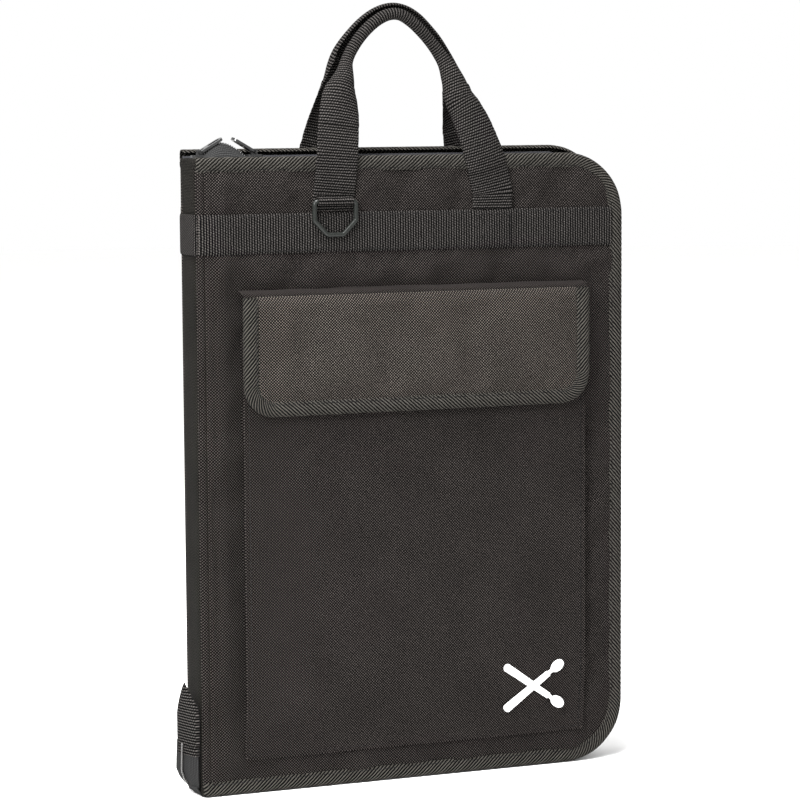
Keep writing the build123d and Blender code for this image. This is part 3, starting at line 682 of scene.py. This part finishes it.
tab_low, tab_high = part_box("zip_tail_tab")
us, vs = sheet_grid(41, 44, low=-1)
point = 0.36
slope = np.maximum((point - us) / (1 + point), 0) ** 0.9 + np.maximum((us - point) / (1 - point), 0) ** 1.2
top = tab_high[2] + 0.001 - 0.018 * slope
z = tab_low[2] - 0.004 + vs * (top - tab_low[2] + 0.004)
pinch = np.clip((1 - vs) * 5, 0, 1) ** 0.6
y = -0.0045 + us * (0.0130 - 0.0012 * bump(vs, 0.12, 0.12) - 0.0015 * (1 - pinch))
mid = (tab_low[0] + tab_high[0]) / 2 - 0.0012 - 0.0040 * us
thick = (0.0024 * pinch + 0.0004) * np.sqrt(np.maximum(1 - 0.75 * us ** 4, 0))
outer = np.stack([mid - thick, y, z], -1)
inner = np.stack([mid + thick * 0.9, y, z], -1)
tab = skin("zip_tail_tab_tape", outer, inner, weave(z, y), webbing, corner=75)
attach(tab, "zip_tail")
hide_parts("zip_tail_tab")
row = [(mid[0, 20] - 0.0026 - 0.0040 * u, -0.0045 + u * 0.0118, 0.0410) for u in np.linspace(-0.9, 0.9, 8)]
sew("zip_tail_stitches", [row], "zip_tail", proud=(-1, 0, 0))

# ---------------------------------------------------------------- bands
# Ribbed nylon webbing sewn flat round the bag along both edges, raised a little over the
# sewn-in handle ends, which have a boxed cross of stitches.
handle_x = 0.002
legs = (handle_x - 0.071, handle_x + 0.071)
for name, side in covers.items():
    low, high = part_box(f"{name}_band")
    us, vs = np.meshgrid(np.linspace(0, 1, 190), np.linspace(-1, 1, 19))
    x = low[0] + 0.0006 + (high[0] - low[0] + 0.0008) * us
    half = (high[2] - low[2]) / 2
    z = (high[2] + low[2]) / 2 + half * vs + 0.00035 * wrinkle(x, 0 * x, 50 + side, 0.09)
    over = sum(np.clip((0.0205 - np.abs(x - leg)) / 0.003, 0, 1) for leg in legs)
    edge = np.clip((1 - np.abs(vs)) * 6, 0, 1) ** 0.5
    rise = 0.0012 + 0.0011 * edge + 0.0009 * over * edge + 0.00025 * wrinkle(x, z, 60 + side, 0.035)
    rise = rise + cover_roll(name, x, z)
    fold = 0.0024 * np.clip((spine_face + 0.0048 - x) / 0.0036, 0, 1) ** 2
    outer = np.stack([x, side * (face_y + rise - fold), z], -1)
    inner = np.stack([x, side * (face_y - 0.0008 - fold), z], -1)
    band = skin(f"{name}_webbing_band", outer, inner, weave(x, z), webbing)
    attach(band, f"{name}_cover")
    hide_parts(f"{name}_band")
    face = side * (face_y + 0.0021)
    rows = [[(low[0] + 0.004, face, height), (high[0], face, height)]
            for height in (low[2] + 0.0022, high[2] - 0.0022)]
    box_face = side * (face_y + 0.0031)
    for leg in legs:
        a, b = leg - 0.0155, leg + 0.0155
        c, d = low[2] + 0.004, high[2] - 0.004
        rows += [[(a, box_face, c), (b, box_face, c), (b, box_face, d), (a, box_face, d), (a, box_face, c)],
                 [(a, box_face, c), (b, box_face, d)], [(a, box_face, d), (b, box_face, c)]]
    sew(f"{name}_band_stitches", rows, f"{name}_cover", proud=(0, side, 0), pitch=0.0034)

low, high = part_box("spine_band")
us, vs = np.meshgrid(np.linspace(-1, 1, 30), np.linspace(-1, 1, 15))
x = low[0] + 0.0004 - 0.0004 * np.clip((1 - np.abs(vs)) * 6, 0, 1) ** 0.5 + 0.0018 * np.abs(us) ** 8
outer = np.stack([x, us * 0.0200, (low[2] + high[2]) / 2 + (high[2] - low[2]) / 2 * vs], -1)
inner = outer.copy()
inner[..., 0] = outer[..., 0] + 0.0016
run = weave(us * 0.02, outer[..., 2])
band = skin("spine_webbing_band", outer, inner, run, webbing)
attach(band, "spine")
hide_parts("spine_band")

# ---------------------------------------------------------------- handles
# One length of webbing each: flat legs, sewn in under the band, whose edges curl back
# until they meet as a round grip.
# Down each loop: X, distance out from the cover, Z and width, all in millimetres.
handle_paths = {
    "front": [
        (-69, 1.2, 476, 36), (-69, 1.6, 483, 36), (-68.6, 2.6, 490.5, 36), (-67.5, 4.0, 503, 36),
        (-66, 5.0, 524, 36), (-63.5, 3.0, 547, 35.5), (-60.8, 0.0, 563, 33), (-58.5, -2.5, 573, 28),
        (-55.7, -6.0, 581, 21), (-53, -9.5, 589, 14), (-50.3, -12.5, 597, 10.5),
        (-45, -14.3, 606.5, 9.8), (-36, -14.6, 618.5, 9.8), (-25, -14.6, 628.5, 9.8),
        (-13.5, -14.6, 634.5, 9.8), (-3, -14.6, 635, 9.8), (6.5, -14.6, 630, 9.8),
        (16, -14.6, 622, 9.8), (25, -14.6, 612.5, 10), (32, -14.0, 603.5, 11), (36.8, -12.0, 595.5, 13),
        (40.5, -9.5, 587, 17), (44, -6.5, 577, 21), (47.5, -3.5, 566, 26), (52, -0.5, 556.5, 29),
        (57, 2.5, 543.5, 32), (62, 4.5, 528, 34), (67.5, 4.5, 510.5, 35.5), (72.4, 2.6, 491, 36),
        (73, 1.6, 483, 36), (73, 1.2, 474.8, 36),
    ],
    "back": [
        (-69, 1.2, 482, 36), (-69, 1.6, 489, 36), (-68.4, 2.6, 496.5, 36), (-65, 4.0, 509, 36),
        (-61.5, 5.0, 526, 36), (-57.5, 3.0, 546, 34), (-54, 0.0, 564, 30), (-52, -3.5, 580, 24),
        (-51.5, -7.5, 594, 17), (-49.5, -11.0, 605, 12.5), (-42, -13.6, 617, 10.5),
        (-31, -14.6, 628.5, 9.8), (-18.5, -14.6, 636.5, 9.8), (-5.5, -14.6, 640, 9.8),
        (6.5, -14.6, 638, 9.8), (17, -14.6, 632, 9.8), (26, -14.6, 623.5, 9.8), (34.5, -14.4, 614, 9.8),
        (41.5, -13.0, 604, 10.5), (47, -10.5, 594.5, 13), (51.5, -7.0, 583.5, 19), (56, -3.5, 571, 26),
        (60, 0.0, 558, 31.5), (64, 3.0, 545, 35), (67.5, 4.8, 529, 36), (71, 4.2, 511, 36),
        (72.8, 2.6, 497, 36), (73, 1.6, 489, 36), (73, 1.2, 480.8, 36),
    ],
}
cut_width, webbing_thick = 0.036, 0.0018

def spline(points, count):
    """Smooth line through points, evenly spaced."""
    points = np.asarray(points, float)
    spots = np.arange(len(points), dtype=float)
    fine = np.linspace(0, len(points) - 1, count * 4)
    number = np.clip(fine.astype(int), 0, len(points) - 2)
    t = (fine - number)[:, None]
    before = points[np.maximum(number - 1, 0)]
    a, b = points[number], points[number + 1]
    after = points[np.minimum(number + 2, len(points) - 1)]
    line = 0.5 * (2 * a + (b - before) * t + (2 * before - 5 * a + 4 * b - after) * t ** 2
                  + (3 * a - before - 3 * b + after) * t ** 3)
    length = running_length(line[:, :3])
    even = np.linspace(0, length[-1], count)
    return np.stack([np.interp(even, length, line[:, axis]) for axis in range(points.shape[1])], 1), even

for name, side in covers.items():
    marks = [(x / 1000, side * (face_y + out / 1000), z / 1000, wide / 1000)
             for x, out, z, wide in handle_paths[name]]
    line, length = spline(marks, 230)
    along = np.gradient(line[:, :3], axis=0)
    along /= np.linalg.norm(along, axis=1, keepdims=True)
    back = np.tile([0, -side, 0], (len(line), 1)).astype(float)
    back -= along * np.sum(back * along, axis=1, keepdims=True)
    back /= np.linalg.norm(back, axis=1, keepdims=True)
    across = np.cross(along, back)
    spots = np.linspace(-1, 1, 37)
    outer, inner = [], []
    for place, wide, t, n, b in zip(line[:, :3], line[:, 3], along, across, back):
        angle = 0.02
        for _ in range(40):
            if math.sin(min(angle, math.pi / 2)) / angle > wide / cut_width:
                angle += 0.06
        angle = min(angle, 2.95)
        bend = cut_width / (2 * angle) if angle < math.pi / 2 else (wide - webbing_thick) / 2
        turn = spots * angle
        if angle < math.pi / 2:
            bend = min(bend, (wide / 2) / math.sin(angle))
        arc_x, arc_y = bend * np.sin(turn), bend * (1 - np.cos(turn))
        sink = arc_y.max() / 2 if angle > 0.3 else 0
        middle = place + np.outer(arc_x, n) + np.outer(arc_y - sink * 0.85, b)
        normal = -np.outer(np.cos(turn), b) + np.outer(np.sin(turn), n)
        edge = np.sqrt(np.clip(1 - np.abs(spots) ** 10, 0.04, 1))[:, None]
        outer.append(middle + normal * webbing_thick / 2 * edge)
        inner.append(middle - normal * webbing_thick / 2 * edge)
    outer, inner = np.array(outer), np.array(inner)
    handle = skin(f"{name}_webbing_handle", outer, inner, swept_weave(length, spots * cut_width / 2),
                  webbing, corner=75)
    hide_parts(f"{name}_handle", f"{name}_handle_anchors")
    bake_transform(handle)

# ---------------------------------------------------------------- D-rings
# Satin black wire rings, each hanging in a short webbing loop sewn to the left foot of
# its handle.
ring_steel = metal("ring_steel", (0.008, 0.009, 0.008), 0.3, 0.0, 900, gloss=0.2)
for name, side in covers.items():
    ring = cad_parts[f"{name}_d_ring"]
    ring.data.materials.clear()
    ring.data.materials.append(ring_steel)
    low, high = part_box(f"{name}_ring_loop")
    bar_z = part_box(f"{name}_d_ring")[1][2] - 0.002
    bar_y = side * (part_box(f"{name}_d_ring")[0][1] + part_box(f"{name}_d_ring")[1][1]) / 2 * side
    bend = 0.0029
    angles = np.linspace(0, math.pi, 16)
    top = high[2] + 0.0004
    section = [(bar_y - side * bend, top)]
    section += [(bar_y - side * bend * math.cos(a), bar_z - bend * math.sin(a)) for a in angles]
    section += [(bar_y + side * bend * math.cos(a), bar_z + bend * math.sin(a))
                for a in np.linspace(0, 1.9, 9)[1:]]
    section = np.array(section)
    section[-4:, 0] = np.linspace(section[-5, 0], bar_y - side * bend * 0.2, 4)
    turn = np.gradient(section, axis=0)
    normal = np.stack([turn[:, 1], -turn[:, 0]], 1) * side
    normal /= np.linalg.norm(normal, axis=1, keepdims=True)
    length = running_length(section)
    xs = np.linspace(low[0], high[0], 24)
    grids = []
    for offset in (-0.0007, 0.0007):
        line = section + normal * offset
        grids.append(np.stack([np.repeat(xs[None, :], len(line), 0), np.repeat(line[:, 0:1], 24, 1),
                               np.repeat(line[:, 1:2], 24, 1)], -1))
    loop = skin(f"{name}_webbing_loop", grids[1], grids[0], swept_weave(length, xs), webbing,
                corner=75)
    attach(loop, f"{name}_cover")
    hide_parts(f"{name}_ring_loop")

# ---------------------------------------------------------------- front pocket
# One flat sheet of the cover's cloth, sewn down along the bottom, with a pleat in each side and
# a taped mouth. A strip of hook and loop on it meets the one on the flap.
pile = fabric("hook_and_loop", (0.035, 0.035, 0.035), (0.006, 0.006, 0.006),
              ((900, 300), (-300, 900)), mix=0.9, bump=1.0, relief=0.0009, wobble=0.0006)
low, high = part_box("pocket_sheet")
pocket_wide, pocket_tall = high[0] - low[0], high[2] - low[2]
us, vs = sheet_grid(120, 140)
x = low[0] + (high[0] - low[0]) * us
z = low[2] + (high[2] - low[2]) * vs
climb = np.clip(vs / 0.16, 0, 1)
lift = 0.0028 + 0.0052 * climb * climb * (3 - 2 * climb)
rim = np.minimum(np.minimum(us, 1 - us) * pocket_wide, 0.02) / 0.02
ridge = 0.0007 * (bump(us * pocket_wide, 0.0012, 0.0012) + bump((1 - us) * pocket_wide, 0.0012, 0.0012))
groove = 0.0006 * (bump(us * pocket_wide, 0.0040, 0.001) + bump((1 - us) * pocket_wide, 0.0040, 0.001))
sag = 0.0009 * rim * (0.6 + 0.4 * wrinkle(x, z, 77, 0.16)) + ridge - groove
foot = 0.0006 * np.clip(1 - vs * pocket_tall / 0.003, 0, 1) ** 2
outer = np.stack([x, -(face_y + lift + sag - foot), z], -1)
inner = outer + np.array([0, 0.0009, 0])
sheet = skin("pocket_cloth", outer, inner, weave(x, z), panel_cloth)
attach(sheet, "front_cover")
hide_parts("pocket_sheet")

for number, (edge, inward) in enumerate(((low[0], 1), (high[0], -1))):
    ts, hs = sheet_grid(14, 90)
    z = low[2] + 0.001 + (high[2] + 0.006 - low[2]) * hs
    climb = np.clip(hs / 0.16, 0, 1)
    deep = 0.0026 + 0.0050 * climb * climb * (3 - 2 * climb)
    pleat = inward * 0.0035 * np.sin(ts * math.pi) * climb
    outer = np.stack([edge + inward * 0.0004 + pleat, -(face_y + 0.0004 + deep * ts), z], -1)
    inner = outer + np.array([inward * 0.0008, 0, 0])
    side_piece = skin(f"pocket_pleat_{number + 1}", outer, inner, weave(outer[..., 1], z),
                      panel_cloth)
    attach(side_piece, "front_cover")
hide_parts("pocket_gusset")

hem_low, hem_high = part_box("pocket_hem")
angles = np.linspace(-0.4, math.pi + 0.4, 16)
xs = np.linspace(hem_low[0], hem_high[0], 80)
over = [(-(face_y + 0.0085) + 0.0012 * math.cos(a), hem_high[2] - 0.0014 + 0.0013 * math.sin(a))
        for a in angles]
section = np.array([(-(face_y + 0.0080), hem_low[2] - 0.001), *over,
                    (-(face_y + 0.0097), hem_low[2] + 0.0005)])
outer = np.stack([np.repeat(xs[None, :], len(section), 0), np.repeat(section[:, 0:1], 80, 1),
                  np.repeat(section[:, 1:2], 80, 1)], -1)
middle = np.array([0, -(face_y + 0.0088), (hem_low[2] + hem_high[2]) / 2])
inner = outer + (middle - outer) * np.array([0, 0.35, 0.08])
run = weave(outer[..., 0], outer[..., 2])
hem = skin("pocket_mouth_hem", outer, inner, run, binding_tape, corner=75)
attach(hem, "front_cover")
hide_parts("pocket_hem")

for node, name, sign, body in (("pocket_loop_tape", "pocket_loop_strip", -1, "front_cover"),
                               ("flap_hook_tape", "flap_hook_strip", 1, "flap")):
    low_t, high_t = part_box(node)
    us, vs = sheet_grid(90, 14)
    x = low_t[0] + (high_t[0] - low_t[0]) * us
    z = low_t[2] + (high_t[2] - low_t[2]) * vs
    crown = 0.0004 * np.clip(np.minimum(np.minimum(us * 10, (1 - us) * 10), np.minimum(vs, 1 - vs) * 5), 0, 1)
    outer_y = (low_t[1] + 0.0003 - crown) if sign < 0 else (high_t[1] - 0.0003 + crown)
    inner_y = (high_t[1] + 0.0002) if sign < 0 else (low_t[1] - 0.0002)
    outer = np.stack([x, outer_y, z], -1)
    inner = np.stack([x, np.full_like(x, inner_y), z], -1)
    strip = skin(name, outer, inner, weave(x, z), pile)
    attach(strip, body)
    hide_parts(node)

def pocket_line(x, z):
    """A point just proud of the pocket's cloth."""
    climb = min(max((z - low[2]) / pocket_tall / 0.16, 0), 1)
    return (x, -(face_y + 0.0028 + 0.0052 * climb * climb * (3 - 2 * climb) + 0.0002), z)
rows = [[pocket_line(low[0] + 0.004, h) for h in np.linspace(low[2] + 0.004, high[2] - 0.004, 60)],
        [pocket_line(high[0] - 0.004, h) for h in np.linspace(low[2] + 0.004, high[2] - 0.004, 60)],
        [pocket_line(x, low[2] + 0.003) for x in np.linspace(low[0] + 0.004, high[0] - 0.004, 40)]]
sew("pocket_stitches", rows, "front_cover", pitch=0.0036)

# ---------------------------------------------------------------- flap
# Padded flap of the same cloth over thin foam, edged with plump ribbed tape, folding at
# the seam along its top.
# The flap's cloth is a lighter copy of the covers' cloth: painted light for the flap's face catching more of
# the lamps.
lit_flap_cloth = fabric("lit_flap_cloth", (0.155, 0.136, 0.120), (0.0004, 0.0004, 0.0004),
                    ((420, 420), (420, -420)), mix=1.0, sharp=1.8, bump=0.8, patch=0.25)
flap_low, flap_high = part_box("flap_edge_binding")
corner_r, tape_cover = 0.026, 0.004
front_y = -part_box("flap_outer_fabric")[0][1]
back_y = -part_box("flap_lining")[1][1]
us, vs = sheet_grid(130, 56)
top_z = flap_high[2]
z = flap_low[2] + tape_cover + (top_z - flap_low[2] - tape_cover) * vs
inner_r = corner_r - tape_cover
drop = np.maximum(0, (flap_low[2] + tape_cover + inner_r) - z)
cut = inner_r - np.sqrt(np.maximum(inner_r ** 2 - drop ** 2, 0))
left = flap_low[0] + tape_cover + cut
right = flap_high[0] - tape_cover - cut
x = left + (right - left) * us
edge = np.minimum(np.minimum(x - left, right - x), z - flap_low[2] - tape_cover)
puffed = 1 - np.exp(-np.clip(edge - 0.004, 0, 1) / 0.012)
roll_top = np.clip((z - (top_z - 0.009)) / 0.009, 0, 1)
swell = 0.0022 * puffed + 0.0005 * puffed * wrinkle(x, z, 91, 0.08)
y = -(front_y - 0.0006 + swell) + 0.0046 * roll_top ** 2
grid = np.stack([x, y, z], -1)
free = (edge > 0.008) & (z < top_z - 0.010)
grid = settle(grid, free, 0.006, 14, 0.0014, 0.0008, 0.5)
inner = grid.copy()
inner[..., 1] = -back_y + 0.0002 - 0.0004 * (1 - roll_top)
padding = skin("flap_panel", grid, inner, weave(x, z), lit_flap_cloth, corner=60)
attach(padding, "flap")
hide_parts("flap_outer_fabric", "flap_foam_pad", "flap_lining")

def flap_outline(low_z, top):
    """Down the left side, round both corners and up the right side."""
    arc = np.linspace(0, math.pi / 2, 20)
    a, b = flap_low[0], flap_high[0]
    down = np.arange(top, low_z + corner_r, -0.0012)
    along = np.arange(a + corner_r, b - corner_r, 0.0012)
    path = np.concatenate([
        np.stack([0 * down + a, down, -1 + 0 * down, 0 * down], 1),
        np.stack([a + corner_r - corner_r * np.cos(arc), low_z + corner_r - corner_r * np.sin(arc),
                  -np.cos(arc), -np.sin(arc)], 1),
        np.stack([along, 0 * along + low_z, 0 * along, -1 + 0 * along], 1)[1:],
        np.stack([b - corner_r + corner_r * np.sin(arc), low_z + corner_r - corner_r * np.cos(arc),
                  np.sin(arc), -np.cos(arc)], 1),
        np.stack([0 * down + b, down[::-1], 1 + 0 * down, 0 * down], 1)[1:]])
    length = running_length(path[:, :2])
    keep = np.concatenate([[True], np.diff(length) > 1e-6])
    return path[keep, :2], path[keep, 2:], length[keep]

path, outward, length = flap_outline(flap_low[2], top_z - 0.001)
base = back_y
flap_profile = smooth_profile([(0.0122, front_y - 0.0006), (0.0121, front_y + 0.0006),
                               (0.0100, front_y + 0.0012), (0.0060, front_y + 0.0022),
                               (0.0020, front_y + 0.0016), (-0.0002, front_y - 0.0008),
                               (-0.0003, base + 0.0016), (0.0010, base - 0.0001),
                               (0.0060, base - 0.0003), (0.0110, base - 0.0002)], 28)
tape = tape_sweep("flap_binding_tape", path, outward, length, flap_profile, -1, 0.4)
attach(tape, "flap")
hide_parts("flap_edge_binding")
line = edge_seam(path, outward, -(front_y + 0.0013))
sew("flap_stitches", [line[::3]], "flap", pitch=0.0042)

xs = np.linspace(flap_low[0] + 0.001, flap_high[0] - 0.001, 110)
fold = smooth_profile([(-front_y + 0.0040, top_z - 0.001), (-front_y + 0.0050, top_z + 0.0022),
                       (-face_y - 0.0080, top_z + 0.0034), (-face_y - 0.0040, top_z + 0.0044),
                       (-face_y - 0.0010, top_z + 0.0048), (-face_y + 0.0004, top_z + 0.0046)], 18)
sway = 0.0004 * wrinkle(xs, 0 * xs, 95, 0.05)
outer = np.stack([np.repeat(xs[None, :], 18, 0), np.repeat(fold[:, 0:1], 110, 1),
                  fold[:, 1:2] + sway[None, :]], -1)
inner = outer - np.array([0, 0, 0.0014])
run = weave(outer[..., 0], outer[..., 1] + outer[..., 2])
crease = skin("flap_fold", outer, inner, run, panel_cloth, corner=75)
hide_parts("flap_seam_welt")
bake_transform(crease)

# ---------------------------------------------------------------- badge
# Two crossed drumsticks in raised white satin stitch, sewn through the pocket's cloth
# near its lower corner.
satin_thread = fabric("satin_thread", (0.93, 0.93, 0.92), (0.62, 0.62, 0.62),
                      ((1150, 160), (160, 900)), mix=0.1, bump=0.8, rough=0.45, patch=0.05)
low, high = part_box("pocket_badge")
centre = ((low[0] + high[0]) / 2, (low[2] + high[2]) / 2)
badge_y = -0.0302
stick_long, shoulder_at, tip_at = 0.066, 0.050, 0.0600
for number, turn in enumerate((-35, 35)):
    us, vs = np.meshgrid(np.linspace(0, 1, 90), np.linspace(-1, 1, 15))
    stick = us * stick_long
    half = np.where(stick < shoulder_at, 0.0026 + 0.0009 * (1 - stick / shoulder_at), 0.0016)
    half = np.maximum(half, 0.0046 * np.sqrt(np.clip(1 - ((stick - tip_at) / 0.0066) ** 2, 0, 1)))
    half = half * np.sqrt(np.clip(1 - (np.clip(0.003 - stick, 0, 1) / 0.0031) ** 2, 0, 1))
    across = vs * half
    height = (0.0008 + 0.0004 * number) * np.sqrt(np.clip(1 - vs ** 2, 0, 1)) * np.clip(half / 0.002, 0, 1)
    c, s = math.cos(math.radians(turn)), math.sin(math.radians(turn))
    px = (stick - stick_long / 2) * c - across * s
    pz = (stick - stick_long / 2) * s + across * c
    outer = np.stack([centre[0] + px, badge_y - 0.0003 - height, centre[1] + pz], -1)
    inner = np.stack([centre[0] + px, np.full_like(px, badge_y + 0.0012), centre[1] + pz], -1)
    stitched = skin(f"badge_stick_{number + 1}", outer, inner, weave(stick, across),
                    satin_thread, corner=80)
    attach(stitched, "front_cover")
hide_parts("pocket_badge")

# ---------------------------------------------------------------- inner sleeves
# Stick sleeves in lining cloth, sewn to each cover's lining: each bulges between its sewn
# pleats and has a taped mouth.
for name, side in covers.items():
    low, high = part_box(f"{name}_sleeve_sheet")
    count = 4 if name == "front" else 5
    us, vs = np.meshgrid(np.linspace(0, 1, 24 * count + 1), np.linspace(0, 1, 60))
    x = low[0] + (high[0] - low[0]) * us
    z = low[2] + (high[2] - low[2]) * vs
    cell = np.abs(np.sin(us * count * math.pi)) ** 0.5
    front = low[1] if side > 0 else -high[1]
    depth = front + 0.0005 + 0.0030 * (1 - cell) * (0.4 + 0.6 * vs) + 0.0002 * wrinkle(x, z, 120 + side, 0.05)
    outer = np.stack([x, side * depth, z], -1)
    inner = np.stack([x, side * (depth + 0.0008), z], -1)
    sheet = skin(f"{name}_sleeve_cloth", outer, inner, weave(x, z), lining_cloth)
    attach(sheet, f"{name}_cover")
    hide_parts(f"{name}_sleeve_sheet")
    low_h, high_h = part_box(f"{name}_sleeve_hem")
    x = low_h[0] + (high_h[0] - low_h[0]) * np.linspace(0, 1, 24 * count + 1)
    cell = np.abs(np.sin(np.linspace(0, 1, 24 * count + 1) * count * math.pi)) ** 0.5
    ring_angles = np.linspace(0.15, 2 * math.pi - 0.15, 20)
    centre_y = front + 0.0012 + 0.0030 * (1 - cell)
    ring_z = (low_h[2] + high_h[2]) / 2
    round_y = centre_y[None, :] + 0.0010 * np.sin(ring_angles)[:, None]
    round_z = ring_z - 0.0040 * np.cos(ring_angles)[:, None] + 0 * x[None, :]
    outer = np.stack([np.repeat(x[None, :], 20, 0), side * round_y, round_z], -1)
    core_y = side * centre_y[None, :]
    inner = np.stack([outer[..., 0], core_y + (outer[..., 1] - core_y) * 0.3,
                      outer[..., 2] * 0.9 + ring_z * 0.1], -1)
    run = weave(outer[..., 0], outer[..., 2])
    mouth = skin(f"{name}_sleeve_mouth", outer, inner, run, binding_tape, corner=75)
    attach(mouth, f"{name}_cover")
    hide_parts(f"{name}_sleeve_hem")
    low_p, high_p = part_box(f"{name}_sleeve_pleats")
    rows = []
    for number in range(count + 1):
        place = low[0] + 0.0005 + (high[0] - low[0] - 0.001) * number / count
        ts, hs = sheet_grid(12, 50)
        z = low_p[2] + 0.001 + (high_p[2] - low_p[2] - 0.001) * hs
        near, far = front + 0.0012, 0.0138
        depth = near + (far - near) * ts
        bowed = place + 0.0012 * np.sin(ts * math.pi) * (1 if number % 2 else -1)
        outer = np.stack([bowed - 0.0004, side * depth, z], -1)
        inner = np.stack([bowed + 0.0004, side * depth, z], -1)
        fold_piece = skin(f"{name}_pleat_{number + 1}", outer, inner, weave(depth, z),
                          lining_cloth)
        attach(fold_piece, f"{name}_cover")
        heights = np.linspace(low[2] + 0.004, high[2] - 0.004, 40)
        rows.append([(place, side * (front + 0.0002), height) for height in heights])
    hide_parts(f"{name}_sleeve_pleats")
    sew(f"{name}_sleeve_stitches", rows, f"{name}_cover", proud=(0, -side, 0), pitch=0.005)
